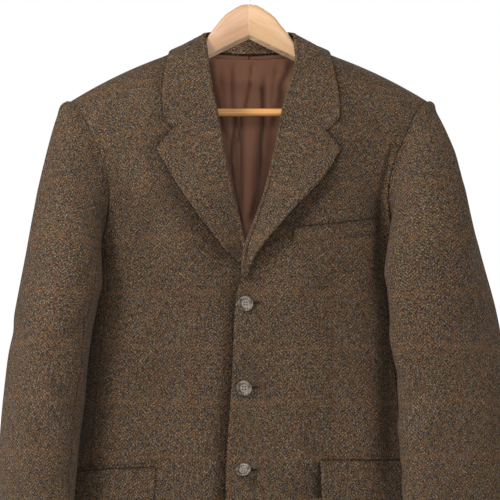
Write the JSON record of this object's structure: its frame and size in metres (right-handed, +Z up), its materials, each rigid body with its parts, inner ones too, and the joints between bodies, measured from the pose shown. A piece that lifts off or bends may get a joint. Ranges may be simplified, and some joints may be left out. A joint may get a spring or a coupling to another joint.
{
  "type": "tweed jacket on a wooden hanger",
  "caption": "Single-breasted tweed hacking jacket with notched lapels, welt pocket and slanted flap pockets, hung buttoned on a wooden hanger with a wire hook.",
  "frame": {"origin": "underside of the hook's crown, where a rail carries the hanger, in the jacket's middle plane", "axes": "+Z up, -Y the way the fronts face, +X towards the wearer's left sleeve"},
  "size_m": [0.6604, 0.2501, 0.8971],
  "materials": {
    "tweed": "matt brown herringbone wool tweed",
    "satin_lining": "smooth satin",
    "horn_buttons": "polished horn look",
    "varnished_wood": "clear satin varnish",
    "hook_wire": "plated wire"
  },
  "bodies": {
    "root": {"back_left": "tweed", "back_right": "tweed", "breast_welt": "tweed", "button_1": "horn_buttons", "button_2": "horn_buttons", "button_3": "horn_buttons", "collar": "tweed", "front_left": "tweed", "front_right": "tweed", "hanger_bar": "varnished_wood", "hanger_hook": "hook_wire", "hanger_left": "varnished_wood", "hanger_right": "varnished_wood", "lapel_left": "tweed", "lapel_right": "tweed", "lining_back": "satin_lining", "pocket_flap_left": "tweed", "pocket_flap_right": "tweed", "pocket_jet_left": "tweed", "pocket_jet_right": "tweed", "side_left": "tweed", "side_right": "tweed", "sleeve_top_left": "tweed", "sleeve_top_right": "tweed", "sleeve_under_left": "tweed", "sleeve_under_right": "tweed"}
  },
  "joints": []
}
